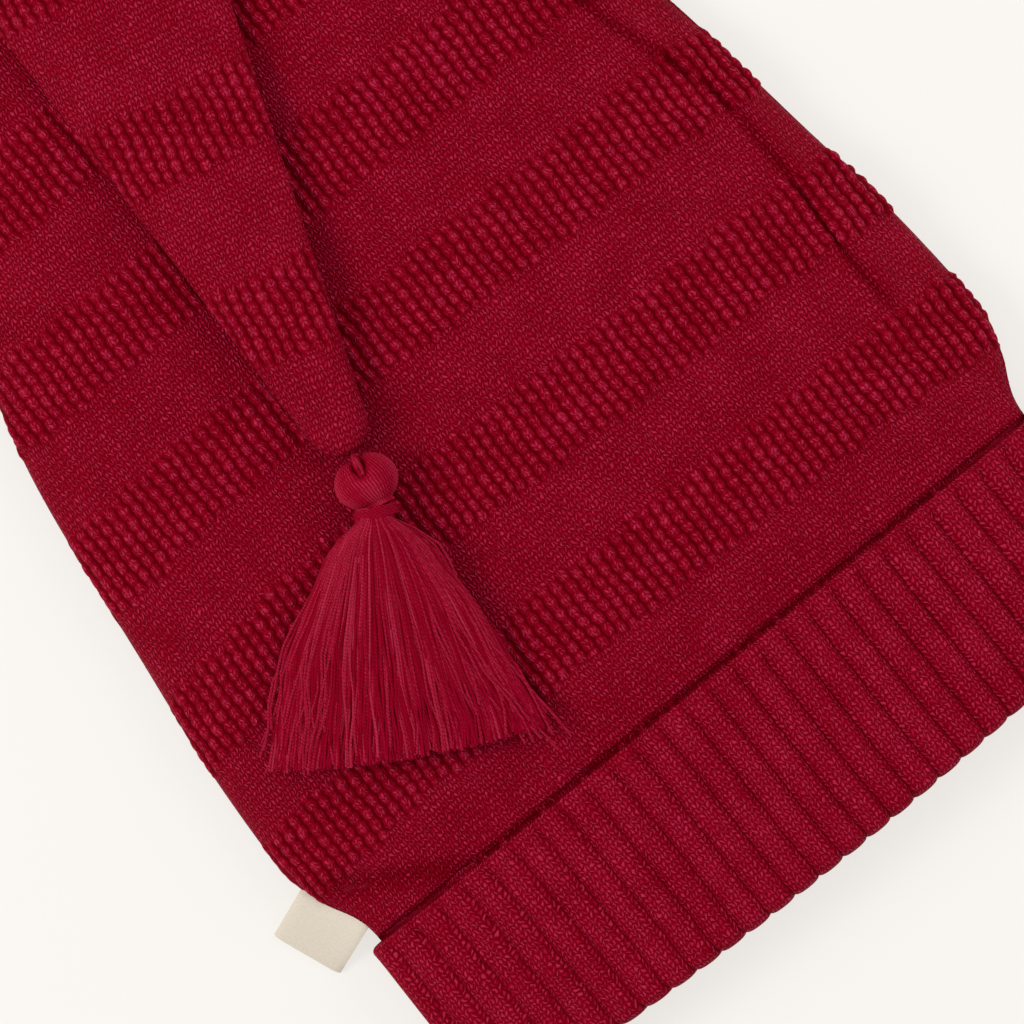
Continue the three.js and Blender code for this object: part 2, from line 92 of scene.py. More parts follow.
# Stitches: a wale of stocking stitch, a course, and a cell of the bump pattern
wale = 1.75
course = 1.53
bump_column = 3.04
bump_row = 3.3
bump_height = 0.9
loop_tug = 0.32
bump_ridge_share = 0.42
band_edge = 0.8
band_sink = 0.15
plain_sink = 0.2
slack_height = 0.5
run_out_length = {"left": 2.0, "right": 0.6}
edge_swell = 0.6
edge_swell_length = 12.0
course_sag = {"left": 5.0, "right": 2.5}
sag_across = (60, 112)
sag_along = (-20, 60)
course_wander = 0.6
wale_wander = 0.5
seam_relief = 0.3
hollow_shade = 0.35
dent_shade = 0.6

# The right seam's valley with a ridge on its outer side, the slack crease above the cuff on the left, and
# the line where the crown goes into the cuff. The valley's width, the ridge's place and width and
# crease_across are shares of the crown's half width. The valley's start and end, where it fades in and out,
# and crease_above_cuff are shares of its length, and the rest is in millimetres.
valley_start = (0.1, 0.2)
valley_end = (0.62, 0.8)
valley_depth = 1.4
valley_width = 0.012
valley_ridge = 0.7
valley_ridge_offset = 0.035
valley_ridge_width = 0.02
crease_depth = 1.2
crease_width = 4.0
crease_across = (-0.94, -0.74)
crease_above_cuff = (0.06, 0.005)
cuff_shadow_depth = 1.7
cuff_shadow_width = 1.0
cuff_shadow_above = 0.4


def read_table(table, column, at):
    """Smooth reading of one column of a table, with the same slopes as the solid."""
    x = np.array(table["at"])
    y = np.array(table[column])
    slope = np.empty_like(y)
    slope[1:-1] = (y[2:] - y[:-2]) / (x[2:] - x[:-2])
    slope[0] = (y[1] - y[0]) / (x[1] - x[0])
    slope[-1] = (y[-1] - y[-2]) / (x[-1] - x[-2])
    at = np.clip(at, x[0], x[-1])
    row = np.clip(np.searchsorted(x, at, side="right") - 1, 0, len(x) - 2)
    span = x[row + 1] - x[row]
    t = (at - x[row]) / span
    rise = span * (slope[row] * t * (1 - t) ** 2 - slope[row + 1] * t * t * (1 - t))
    return y[row] + (y[row + 1] - y[row]) * t * t * (3 - 2 * t) + rise


def smooth(start, end, at):
    t = np.clip((at - start) / (end - start), 0, 1)
    return t * t * (3 - 2 * t)


def blend(a, b, share):
    return a + (b - a) * share


def signed_power(value, power):
    return np.sign(value) * np.abs(value) ** power


def crown_section(y):
    at = (y - cuff_top_y) / crown_length
    free = smooth(cuff_top_y, cuff_top_y + cuff_blend_length, y)
    inside = cuff_half_width - cuff_clearance
    return {
        "floor": cuff_clearance * (1 - free),
        "half_width": blend(inside, read_table(crown_sections, "half_width", at) * crown_width, free),
        "front": blend(cuff_thickness - cuff_clearance,
                       read_table(crown_sections, "front", at) * crown_thickness, free),
        "side": blend(cuff_thickness / 2, read_table(crown_sections, "side", at) * crown_thickness, free),
    }


fold_y = cuff_top_y + crown_length
fold_turn = -tip_lean / 2
fold_half = fold_thickness / 2
fold_spine_radius = fold_half + fold_inside_radius
fold_outward = np.array((-math.sin(fold_turn), math.cos(fold_turn), 0.0))
fold_start = np.array((0.0, fold_y, fold_half)) - fold_outward * (fold_spine_radius + fold_half)
turn_length = 50.0


def crown_turn(y):
    return fold_turn * smooth(fold_start[1] - turn_length, fold_start[1], y)


def crown_front(x, y):
    """Height of the crown's front without stripes or dents."""
    section = crown_section(y - x * np.tan(crown_turn(y)))
    share = np.minimum(np.abs(x) / section["half_width"], 1)
    up = (1 - share ** front_power) ** (1 / front_power)
    return section["side"] + (section["front"] - section["side"]) * up


def wobble(x, y, size, seed):
    """Soft irregular waves between about -1 and 1, the same on every run."""
    a, b, c = seed * 1.7, seed * 2.3, seed * 0.9
    waves = np.sin(x / size + a + 1.3 * np.sin(y / size * 0.8 + b))
    waves = waves + np.sin(y / size * 1.1 + c + 1.1 * np.sin(x / size * 0.7 + a))
    return waves / 2


def front_dent(x, y):
    """How deep the front sinks: the right seam's valley and the slack crease above the cuff on the left."""
    at = (y - cuff_top_y) / crown_length
    half_width = crown_section(y)["half_width"]
    valley = read_table(seam_valley, "share", at)
    ends = smooth(*valley_start, at) * (1 - smooth(*valley_end, at))
    from_valley = x / half_width - valley
    ridge = valley_ridge * np.exp(-((from_valley - valley_ridge_offset) / valley_ridge_width) ** 2)
    seam = ends * (valley_depth * np.exp(-(from_valley / valley_width) ** 2) - ridge)
    along = np.clip((x / half_width - crease_across[0]) / (crease_across[1] - crease_across[0]), 0, 1)
    crease_y = cuff_top_y + blend(*crease_above_cuff, along) * crown_length
    crease_x = blend(*crease_across, along) * half_width
    crease = crease_depth * np.exp(-(np.hypot(x - crease_x, y - crease_y) / crease_width) ** 2)
    at_cuff = cuff_shadow_depth * np.exp(-((y - cuff_top_y - cuff_shadow_above) / cuff_shadow_width) ** 2)
    return seam + crease + at_cuff


def band_between(start, end, at):
    """1 from start to end and 0 outside, with soft edges."""
    return smooth(start - band_edge, start + band_edge, at) - smooth(end - band_edge, end + band_edge, at)


def bump_band(y):
    """1 on a band of bumps, 0 on plain stocking stitch."""
    along = np.mod(y - cuff_top_y - first_band_above_cuff, band_period)
    next_band = smooth(band_period - band_edge, band_period + band_edge, along)
    return band_between(0, bump_band_height, along) + next_band


# The yarn's uneven tension, in tables that repeat further apart than the eye finds
nub_heights = np.random.default_rng(3).uniform(0.6, 1.15, (97, 89))
column_starts = np.random.default_rng(4).uniform(-1.3, 1.3, 97)


def bump_relief(u, v):
    """Height of the bump stitches from 0 to 1 at a place on the knit in millimetres."""
    column = u / bump_column
    row = v / bump_row + 0.5 * np.mod(np.floor(column), 2)
    across = (np.mod(column, 1) - 0.5) * 2
    along = (np.mod(row, 1) - 0.5) * 2
    ridge = bump_ridge_share * np.clip(1 - across ** 2, 0, 1)
    nub = np.clip(1 - across ** 2 - 0.8 * along ** 2, 0, 1) ** 0.75
    columns, rows = nub_heights.shape
    height = nub_heights[np.floor(column).astype(int) % columns, np.floor(row).astype(int) % rows]
    return ridge + (1 - bump_ridge_share) * nub * height


def uneven_start(u):
    """How far a band's edge is off at a column of bumps."""
    return column_starts[np.floor(u / bump_column).astype(int) % len(column_starts)]


def loop_tugs(u, v):
    """How far single loops are pulled off their places, along and across the knit."""
    return loop_tug * wobble(u, v, 2.7, 8.0), loop_tug * wobble(u, v, 2.3, 7.0)


def select_only(piece):
    bpy.ops.object.select_all(action="DESELECT")
    piece.select_set(True)
    bpy.context.view_layer.objects.active = piece


def set_attribute(mesh, key, values):
    attribute = mesh.attributes.new(key, "FLOAT", "POINT")
    attribute.data.foreach_set("value", values.ravel().astype(np.float32))


def knit_grid(name, points, uv, keep=None, attributes=None, weld=False, turn_over=False):
    """A grid primitive whose corners are moved to points in millimetres, with its own UVs.

    points has a row of places for each row of corners. keep says which faces stay."""
    rows, columns = points.shape[:2]
    bpy.ops.object.select_all(action="DESELECT")
    bpy.ops.mesh.primitive_grid_add(x_subdivisions=columns - 1, y_subdivisions=rows - 1, size=1)
    piece = bpy.context.object
    piece.name = name
    mesh = piece.data
    mesh.name = name
    mesh.vertices.foreach_set("co", (points.reshape(-1, 3) * MM).ravel())
    corners = np.empty(len(mesh.loops), dtype=np.int32)
    mesh.loops.foreach_get("vertex_index", corners)
    layer = mesh.uv_layers[0]
    layer.name = "knit"
    layer.data.foreach_set("uv", uv.reshape(-1, 2)[corners].ravel())
    for key, values in (attributes or {}).items():
        set_attribute(mesh, key, values)
    mesh.update()
    select_only(piece)
    bpy.context.tool_settings.mesh_select_mode = (False, False, True)
    if keep is not None:
        mesh.polygons.foreach_set("select", ~keep.ravel())
    bpy.ops.object.mode_set(mode="EDIT")
    if keep is not None:
        bpy.ops.mesh.delete(type="FACE")
    bpy.ops.mesh.select_all(action="SELECT")
    if weld:
        bpy.ops.mesh.remove_doubles(threshold=0.000002)
    if turn_over:
        bpy.ops.mesh.flip_normals()
    bpy.ops.object.mode_set(mode="OBJECT")
    bpy.ops.object.shade_smooth()
    return piece


def grid_normals(points):
    """Unit normals of a grid of points, along columns times rows."""
    across = np.gradient(points, axis=1)
    along = np.gradient(points, axis=0)
    normal = np.cross(across, along)
    return normal / np.maximum(np.linalg.norm(normal, axis=2, keepdims=True), 1e-9)


def lay_knit(half_ring, along_range, u, v):
    """Places on a surface for knit coordinates u (across, from the middle) and v (along), cut at its edges.

    half_ring(along) gives one crosswise curve of the surface from its left edge to its right edge."""
    widest = 130.0
    table_along = np.linspace(along_range[0], along_range[1], 320)
    table_across = np.linspace(-widest, widest, 521)
    table = np.empty((len(table_along), len(table_across), 3))
    edge = np.empty(len(table_along))
    for row, along in enumerate(table_along):
        curve = half_ring(along)
        length = np.r_[0, np.cumsum(np.linalg.norm(np.diff(curve, axis=0), axis=1))]
        edge[row] = length[-1] / 2
        for axis in range(3):
            table[row, :, axis] = np.interp(table_across, length - edge[row], curve[:, axis])
    position = (np.clip(v, *along_range) - along_range[0]) / (table_along[1] - table_along[0])
    row = np.minimum(position.astype(int), len(table_along) - 2)
    part = (position - row)[..., None]
    reach = blend(edge[row], edge[row + 1], part[..., 0])
    beyond = np.abs(u) >= reach
    across = (np.clip(u, -reach, reach) + widest) / (table_across[1] - table_across[0])
    column = np.minimum(across.astype(int), len(table_across) - 2)
    share = (across - column)[..., None]
    near = blend(table[row, column], table[row, column + 1], share)
    far = blend(table[row + 1, column], table[row + 1, column + 1], share)
    hidden = beyond[:-1, :-1] & beyond[:-1, 1:] & beyond[1:, :-1] & beyond[1:, 1:]
    return blend(near, far, part), ~hidden, reach


ring_angle = np.linspace(0, math.pi, 361)
ring_across = -np.cos(ring_angle)
ring_up = np.abs(np.sin(ring_angle))


def body_half_ring(y, is_front):
    section = crown_section(y)
    turn = crown_turn(y)
    near_fold = smooth(fold_start[1] - turn_length, fold_start[1], y)
    power = front_power if is_front else blend(rear_power, front_power, near_fold)
    x = section["half_width"] * signed_power(ring_across, 2 / power)
    up = ring_up ** (2 / power)
    if is_front:
        z = section["side"] + (section["front"] - section["side"]) * up
    else:
        depth = (section["side"] - section["floor"]) * blend(rear_flatness, 1, near_fold)
        z = np.maximum(section["side"] - depth * up, section["floor"])
    middle = blend(0, fold_start[0], near_fold)
    return np.stack((middle + x * math.cos(turn), y + x * math.sin(turn), z), axis=1)


mouth_y = cuff_top_y - crown_tuck


def knit_lattice(along_start, along_end, half_width, per_column, per_row):
    """A lattice of knit coordinates whose points fall on the same places of every bump cell."""
    across_step = bump_column / per_column
    along_step = bump_row / per_row
    widest = math.ceil(half_width / across_step)
    first = math.floor(along_start / along_step)
    last = math.ceil(along_end / along_step)
    u = np.arange(-widest, widest + 1) * across_step
    v = np.clip(np.arange(first, last + 1) * along_step, along_start, along_end)
    return np.meshgrid(u, v)


def make_crown_panel(name, is_front, per_column, per_row):
    u, v = knit_lattice(mouth_y, fold_start[1], 122, per_column, per_row)
    # The courses sag a little towards both side seams, and the wales wander
    sag = np.where(u < 0, course_sag["left"], course_sag["right"])
    sag = sag * smooth(*sag_across, np.abs(u)) * (1 - smooth(*sag_along, v))
    tug_along, tug_across = loop_tugs(u, v)
    along = v - sag * smooth(mouth_y, mouth_y + 20, v) + course_wander * wobble(u, v, 21.0, 1.0) + tug_along
    along = np.clip(along, mouth_y, fold_start[1])
    along[0] = mouth_y
    along[-1] = fold_start[1]
    across = u + wale_wander * wobble(u, v, 15.0, 2.0) + tug_across
    ends = (mouth_y, fold_start[1])
    points, keep, reach = lay_knit(lambda y: body_half_ring(y, is_front), ends, across, along)
    band = bump_band(v + uneven_start(u))
    relief = bump_relief(u, v)
    # At the left seam the relief runs out, and on the right it goes on to the folded edge
    run_out = np.where(u < 0, run_out_length["left"], run_out_length["right"])
    from_seam = smooth(0, run_out, reach - np.abs(across))
    if is_front:
        free = smooth(cuff_top_y - 2, cuff_top_y + 14, points[:, :, 1]) * from_seam
        dent = front_dent(points[:, :, 0], points[:, :, 1])
        points[:, :, 2] -= dent * from_seam
        slack = slack_height * wobble(u, v, 19.0, 3.0) * free
        at_edge = 1 + edge_swell * smooth(-edge_swell_length, 0, across - reach)
        lift = band * (relief * bump_height * at_edge - band_sink) - plain_sink * (1 - band)
        points += grid_normals(points) * (lift * blend(seam_relief, 1, from_seam) + slack)[:, :, None]
    else:
        lift = band * (relief - 1) * bump_height * from_seam
        points += grid_normals(points) * lift[:, :, None] * -1
        points[:, :, 2] = np.maximum(points[:, :, 2], 0.0)
        dent = np.zeros_like(v)
    # Painted shade: the material darkens the tone in the hollows between the nubs and in the dents
    hollow = band * (1 - relief) * hollow_shade + dent_shade * np.clip(dent, 0, None)
    uv = np.stack((u, v), axis=2)
    return knit_grid(name, points, uv, keep, {"band": band, "hollow": hollow}, turn_over=not is_front)


# Front in fine mesh, rear coarser
crown_panel_front = make_crown_panel("crown_front", True, 4, 4)
crown_panel_rear = make_crown_panel("crown_rear", False, 2, 2)


def make_crown_inside():
    """The crown's inner wall, seen through the mouth: one coarse tube that closes at the fold."""
    count = 96
    levels = np.r_[mouth_y, mouth_y, np.linspace(mouth_y + 3, fold_start[1], 40)]
    rows = []
    for level, y in enumerate(levels):
        front = body_half_ring(y, True)
        rear = body_half_ring(y, False)[::-1]
        ring = np.concatenate((front[:-1], rear[:-1]))
        ring = ring[np.linspace(0, len(ring), count, endpoint=False).astype(int)]
        middle = np.array((ring[:, 0].mean(), y, crown_section(y)["side"]))
        wall = 0.0 if level == 0 else crown_wall
        from_middle = ring - middle
        size = np.maximum(np.abs(from_middle).max(axis=0), 1e-6)
        shrink = (size - wall) / size
        shrink[1] = 1.0
        rows.append(middle + from_middle * shrink)
    points = np.array(rows)
    points = np.concatenate((points, points[:, :1]), axis=1)
    u, v = np.meshgrid(np.linspace(0, 4 * cuff_half_width, count + 1), levels)
    zero = np.zeros(points.shape[:2])
    uv = np.stack((u, v), axis=2)
    return knit_grid("crown_inside", points, uv, None, {"band": zero}, weld=True)


crown_inside = make_crown_inside()


# Knit material
# Crimson mercerised cotton in stocking stitch and bump stitch, dyed in the yarn. Each loop gets a soft
# pink painted highlight on top, and painted shade keeps the gaps between the loops dark.

def srgb(hex_colour):
    """Linear colour from an sRGB hex value."""
    channels = [(hex_colour >> shift & 255) / 255 for shift in (16, 8, 0)]
    return [c / 12.92 if c <= 0.04045 else ((c + 0.055) / 1.055) ** 2.4 for c in channels] + [1.0]


def add(tree, kind, *inputs, **settings):
    """A shader node with its settings. An input is a value, a socket, or a node for its first output."""
    node = tree.nodes.new(kind)
    for key, value in settings.items():
        setattr(node, key, value)
    for socket, value in zip(node.inputs, inputs):
        if isinstance(value, bpy.types.Node):
            value = value.outputs[0]
        if isinstance(value, bpy.types.NodeSocket):
            tree.links.new(value, socket)
        elif value is not None:
            socket.default_value = value
    return node


def set_inputs(node, values):
    for name, value in values.items():
        node.inputs[name].default_value = value


def new_material(name):
    material = bpy.data.materials.new(name)
    material.use_nodes = True
    tree = material.node_tree
    tree.nodes.clear()
    return material, tree


def hump(tree, phase, power):
    """1 in the middle of each turn of phase and 0 at its ends."""
    turn = add(tree, "ShaderNodeMath", phase, operation="FRACT")
    side = add(tree, "ShaderNodeMath", turn, 2.0, -1.0, operation="MULTIPLY_ADD")
    square = add(tree, "ShaderNodeMath", side, side, operation="MULTIPLY")
    rest = add(tree, "ShaderNodeMath", 1.0, square, operation="SUBTRACT")
    return add(tree, "ShaderNodeMath", rest, power, operation="POWER")


def yarn_surface(tree, tone, height, depth, colours, sheen=0.0):
    """Ends a yarn material: colours along tone, a bump of height, and cotton's soft specular shine and
    sheen.
    """
    ramp = add(tree, "ShaderNodeValToRGB", tone)
    dark, mid, light = colours
    ramp.color_ramp.elements[0].color = srgb(dark)
    ramp.color_ramp.elements[1].color = srgb(light)
    ramp.color_ramp.elements.new(0.5).color = srgb(mid)
    bump = add(tree, "ShaderNodeBump")
    set_inputs(bump, {"Strength": 1.0, "Distance": depth * MM})
    tree.links.new(height.outputs[0], bump.inputs["Height"])
    shader = add(tree, "ShaderNodeBsdfPrincipled", ramp)
    tree.links.new(bump.outputs["Normal"], shader.inputs["Normal"])
    set_inputs(shader, {
        "Roughness": 0.65,
        "Specular IOR Level": 0.15,
        "Specular Tint": srgb(0xC81C40),
        "Sheen Weight": sheen,
        "Sheen Roughness": 0.5,
        "Sheen Tint": srgb(0xC02044),
    })
    add(tree, "ShaderNodeOutputMaterial", shader)


def stitch_chance(tree, across, along):
    """A value from 0 to 1 that is the same over one stitch, by the whole parts of its two numbers."""
    column = add(tree, "ShaderNodeMath", across, operation="FLOOR")
    row = add(tree, "ShaderNodeMath", along, operation="FLOOR")
    cell = add(tree, "ShaderNodeCombineXYZ", column, row)
    return add(tree, "ShaderNodeTexWhiteNoise", cell, noise_dimensions="2D")


def centred_noise(tree, uv, scale):
    """Soft noise in each direction, from -0.5 to 0.5."""
    noise = add(tree, "ShaderNodeTexNoise", uv, None, scale, 1.0, 0.5).outputs["Color"]
    return add(tree, "ShaderNodeVectorMath", noise, (0.5, 0.5, 0.5), operation="SUBTRACT")


def moved_by(tree, noise, distance, place):
    """A place on the knit moved by noise times a distance in millimetres."""
    across_both = (distance, distance, 0.0)
    return add(tree, "ShaderNodeVectorMath", noise, across_both, place, operation="MULTIPLY_ADD")


def in_cells(tree, place, width, height):
    """A place on the knit, across and along, counted in cells of a width and a height."""
    place = add(tree, "ShaderNodeSeparateXYZ", place)
    across = add(tree, "ShaderNodeMath", place, 1 / width, operation="MULTIPLY")
    along = add(tree, "ShaderNodeMath", place.outputs[1], 1 / height, operation="MULTIPLY")
    return across, along


def lit_loop(tree, loop, narrowness, highlight):
    """Tone of a loop of yarn: painted shade round it, plain on its flanks, and a painted highlight along
    its crest.
    """
    flank = add(tree, "ShaderNodeMath", loop, 0.5, operation="POWER")
    crest = add(tree, "ShaderNodeMath", loop, narrowness, operation="POWER")
    glint = add(tree, "ShaderNodeMath", crest, highlight, operation="MULTIPLY")
    lit = add(tree, "ShaderNodeMath", glint, 0.6, operation="MULTIPLY")
    return add(tree, "ShaderNodeMath", flank, 0.5, lit, operation="MULTIPLY_ADD")


def uneven(tree, noise, strength, tone):
    """A tone made lighter and darker by noise from 0 to 1."""
    centred = add(tree, "ShaderNodeMath", noise, 0.5, operation="SUBTRACT")
    return add(tree, "ShaderNodeMath", centred, strength, tone, operation="MULTIPLY_ADD")


# How far the loops wander off their places, in millimetres: some stitches together, each loop, and each nub
loose_pull = 1.25
stray_pull = 1.0
nub_pull = 0.9
# How often the noises change in a millimetre, and how much they and the painted shade of the hollows change
# the tone
loose_scale = 0.35
stray_scale = 0.9
fibre_scale = 3.0
blotch_scale = 0.08
fibre_strength = 0.8
blotch_strength = 0.3
hollow_darkening = 0.33
tone_range = 0.85
tone_floor = 0.1
# The lean and softness of a stitch's legs, the weight of the rows in a nub, and the loops' height in mm
leg_lean = -1.5
leg_width = 0.8
nub_row_share = 0.6
loop_depth = 0.4


def knit_material(name, colours, depth):
    material, tree = new_material(name)
    uv = add(tree, "ShaderNodeUVMap", uv_map="knit")
    loose = moved_by(tree, centred_noise(tree, uv, loose_scale), loose_pull, uv)
    stray = centred_noise(tree, uv, stray_scale)
    moved = moved_by(tree, stray, stray_pull, loose)

    # Stocking stitch: two legs to a wale, each leaning away from its middle
    u, v = in_cells(tree, moved, wale, course)
    in_wale = add(tree, "ShaderNodeMath", u, operation="FRACT")
    from_middle = add(tree, "ShaderNodeMath", in_wale, 0.5, operation="SUBTRACT")
    side = add(tree, "ShaderNodeMath", from_middle, operation="ABSOLUTE")
    leg = hump(tree, add(tree, "ShaderNodeMath", side, 2.0, operation="MULTIPLY"), leg_width)
    lean = add(tree, "ShaderNodeMath", side, leg_lean, v, operation="MULTIPLY_ADD")
    stitch = add(tree, "ShaderNodeMath", leg, hump(tree, lean, leg_width), operation="MULTIPLY")
    # A painted highlight along each leg's crest, stronger on some stitches than on others
    chance = stitch_chance(tree, add(tree, "ShaderNodeMath", u, 2.0, operation="MULTIPLY"), lean)
    stitch_highlight = add(tree, "ShaderNodeMath", chance, 1.1, 0.2, operation="MULTIPLY_ADD")
    stitch_tone = lit_loop(tree, stitch, 3.0, stitch_highlight)

    # Bump stitch: soft nubs in columns, every other column half a row up, each made of a few short legs
    column, row = in_cells(tree, moved_by(tree, stray, nub_pull, uv), bump_column, bump_row)
    odd = add(tree, "ShaderNodeMath", column, operation="FLOOR")
    odd = add(tree, "ShaderNodeMath", odd, 1.0, operation="PINGPONG")
    row = add(tree, "ShaderNodeMath", odd, 0.5, row, operation="MULTIPLY_ADD")
    dome = add(tree, "ShaderNodeMath", hump(tree, row, 1.0), nub_row_share, hump(tree, column, 1.0),
               operation="MULTIPLY_ADD")
    nub = add(tree, "ShaderNodeMath", dome, nub_row_share, operation="SUBTRACT")
    nub = add(tree, "ShaderNodeMath", nub, 0.0, operation="MAXIMUM")
    # Painted highlights on the nubs' short legs, following the stocking stitch's tone, stronger on some
    # nubs
    leg_highlight = add(tree, "ShaderNodeMath", stitch_tone, 2.1, operation="MULTIPLY")
    leg_highlight = add(tree, "ShaderNodeMath", stitch_chance(tree, column, row), 0.45, leg_highlight,
                    operation="MULTIPLY_ADD")
    nub_highlight = add(tree, "ShaderNodeMath", leg_highlight, 0.7, operation="SUBTRACT")
    nub_tone = lit_loop(tree, nub, 1.5, nub_highlight)

    # Fibre, uneven dye, and painted shade in the hollows between nubs and ribs
    fibre = add(tree, "ShaderNodeTexNoise", moved, None, fibre_scale, 2.0, 0.65)
    blotch = add(tree, "ShaderNodeTexNoise", moved, None, blotch_scale, 1.0, 0.5)
    band = add(tree, "ShaderNodeAttribute", attribute_name="band").outputs["Fac"]
    hollow = add(tree, "ShaderNodeAttribute", attribute_name="hollow").outputs["Fac"]
    loops = add(tree, "ShaderNodeMix", band, None, stitch_tone, nub_tone, data_type="FLOAT")
    rough = uneven(tree, fibre, fibre_strength, loops)
    cloudy = uneven(tree, blotch, blotch_strength, rough)
    shaded = add(tree, "ShaderNodeMath", hollow, -hollow_darkening, cloudy, operation="MULTIPLY_ADD")
    tone = add(tree, "ShaderNodeMath", shaded, tone_range, tone_floor, operation="MULTIPLY_ADD")
    height = add(tree, "ShaderNodeMath", fibre, 0.4, loops, operation="MULTIPLY_ADD")
    yarn_surface(tree, tone, height, depth, colours)
    return material


def dress(piece, material, slot_name, *nodes):
    piece.data.materials.clear()
    piece.data.materials.append(material)
    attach(piece, "root")
    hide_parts(*nodes)


# Colours along the tone: painted shade in the gaps, the yarn's own crimson, and painted highlights
crimson = (0x5C0008, 0x8C021C, 0xBC284A)
crown_knit = knit_material("crimson_cotton_knit", crimson, loop_depth)
for piece in (crown_panel_front, crown_panel_rear, crown_inside):
    dress(piece, crown_knit, "knit", "crown")


# Folded tip
# The crown's long end turns over the fold and lies down over the front, narrowing to the tassel. Its wales
# run along it, and its stripes are cut by its own two seams.

tip_length = 159.0
tip_root_width = 66.0
tip_end_width = 12.7
tip_end_thickness = 8.4
tip_end_rounding = 7.5
tip_rest_gap = 0.875
tip_settle_length = 34.0
tip_wale_wander = 0.4
tip_course_wander = 0.5
tip_band_sink = 0.2
tip_plain_sink = 0.15
tip_run_out_length = 2.5
tip_hollow_shade = 0.3
tip_brightness = 0.06
tip_last = -0.02


def towards_hem(turn):
    """The direction to the hem, turned to the left by an angle."""
    return np.array((-math.sin(turn), -math.cos(turn), 0.0))


def towards_left(turn):
    """The direction to the left, square to towards_hem."""
    return np.array((-math.cos(turn), math.sin(turn), 0.0))


tip_direction = towards_hem(tip_lean)
fold_root_half_width = float(crown_section(fold_start[1])["half_width"])
tip_stripes = (27.0, 48.0, 77.0, 97.0, 127.0, 147.0)


def flat_half_ring(centre, across, normal, half_width, depth, power):
    """One side of a flattened tube, from its left edge to its right edge, bulging along normal."""
    x = half_width * signed_power(ring_across, 2 / power)
    up = depth * ring_up ** (2 / power)
    return centre + x[:, None] * across + up[:, None] * normal


def fold_half_ring(angle, is_top):
    centre = fold_start + fold_outward * fold_spine_radius * math.sin(angle)
    centre = centre + np.array((0, 0, fold_spine_radius * (1 - math.cos(angle))))
    outward = fold_outward * math.sin(angle) - np.array((0, 0, math.cos(angle)))
    across = np.array((math.cos(fold_turn), math.sin(fold_turn), 0.0))
    half_width = blend(fold_root_half_width, tip_root_width / 2, angle / math.pi)
    outward = outward if is_top else -outward
    return flat_half_ring(centre, across, outward, half_width, fold_half, front_power)


def tip_half_ring(distance, is_top):
    to_end = (tip_length - distance) / tip_end_rounding
    round_off = math.sqrt(max(1 - (1 - to_end) ** 2, 0.0)) if to_end < 1 else 1.0
    width = blend(tip_root_width, tip_end_width, distance / tip_length) * round_off
    half = blend(fold_half, tip_end_thickness / 2, smooth(0.2, 1, distance / tip_length))
    settled = smooth(0, tip_settle_length, distance)
    centre = fold_start + tip_direction * distance
    ground = crown_front(centre[0], centre[1])
    centre[2] = blend(fold_half + 2 * fold_spine_radius, ground + tip_rest_gap + half, settled)
    turn = blend(fold_turn, -tip_lean, smooth(0, turn_length, distance))
    across = np.array((math.cos(turn), math.sin(turn), 0.0))
    normal = np.array((0.0, 0.0, 1.0 if is_top else -1.0))
    power = blend(front_power, 2.3 if is_top else 3.0, settled)
    ring = flat_half_ring(centre, across, normal, width / 2, half * round_off, power)
    ring[:, 2] += settled * (crown_front(ring[:, 0], ring[:, 1]) - ground)
    return ring


def make_tip_panel(name, is_top, per_column, per_row):
    outer_radius = fold_spine_radius + (fold_half if is_top else -fold_half)
    fold_arc = math.pi * outer_radius

    def half_ring(v):
        """v is 0 at the tip's end and counts back towards the fold."""
        distance = v + tip_length
        if distance < 0:
            return fold_half_ring(math.pi * (1 + distance / fold_arc), is_top)
        return tip_half_ring(distance, is_top)

    start = -tip_length - fold_arc
    u, v = knit_lattice(start, 0, 38, per_column, per_row)
    v[-1] = tip_last
    from_ends = smooth(start, start + 8, v) * (1 - smooth(-8, 0, v))
    tug_along, tug_across = loop_tugs(u, v)
    across = u + (tip_wale_wander * wobble(u, v, 13.0, 4.0) + tug_across) * from_ends
    along = v + (tip_course_wander * wobble(v, u, 17.0, 5.0) + tug_along) * from_ends
    along = np.clip(along, start, tip_last)
    points, keep, reach = lay_knit(half_ring, (start, tip_last), across, along)
    band = np.zeros_like(v)
    for near_end, far_end in zip(tip_stripes[::2], tip_stripes[1::2]):
        band += band_between(near_end, far_end, uneven_start(u) - v)
    relief = bump_relief(u, v)
    from_seam = smooth(0, tip_run_out_length, reach - np.abs(across))
    lift = band * (relief * bump_height - tip_band_sink) - tip_plain_sink * (1 - band)
    lift = lift * from_seam * from_ends
    # The tip runs towards the hem, so the grid's own normals point down on both of its sides
    outward = -1 if is_top else 1
    points += grid_normals(points) * (lift * outward)[:, :, None]
    # Painted shade in the hollows between the nubs, and the whole tip a little lighter
    hollow = band * (1 - relief) * tip_hollow_shade - tip_brightness
    uv = np.stack((u, v), axis=2)
    return knit_grid(name, points, uv, keep, {"band": band, "hollow": hollow}, turn_over=is_top)


# The side that shows in fine mesh, the underside coarse
dress(make_tip_panel("tip_top", True, 4, 4), crown_knit, "knit", "crown")
dress(make_tip_panel("tip_under", False, 1, 1), crown_knit, "knit", "crown")


# Cuff
# The ribbed cuff is turned up once: an outer layer with its rolled top edge, the turn at the hem and an
# inner layer that meets the crown. Each rib is three knit wales with a soft groove on each side.

rib_count = 56
rib_depth = 1.4
columns_per_rib = 12
hem_sweep = 5.0
hem_scallop = 1.0
hem_turn_length = 7.0
hem_sweep_length = 25.0
rolled_edge = 1.3
rib_fade = (1.6, 5.0)
rib_waver = 0.3
inner_edge_gap = 0.3
slot_depth = 9.0
groove_shade = 0.6
rib_brightness = 0.25
inner_rib_share = 0.3
cuff_inner_wall = 2.2
cuff_layers = cuff_outer_wall + layer_gap + cuff_inner_wall
cuff_front_power = 2.6
cuff_rear_power = 4.0


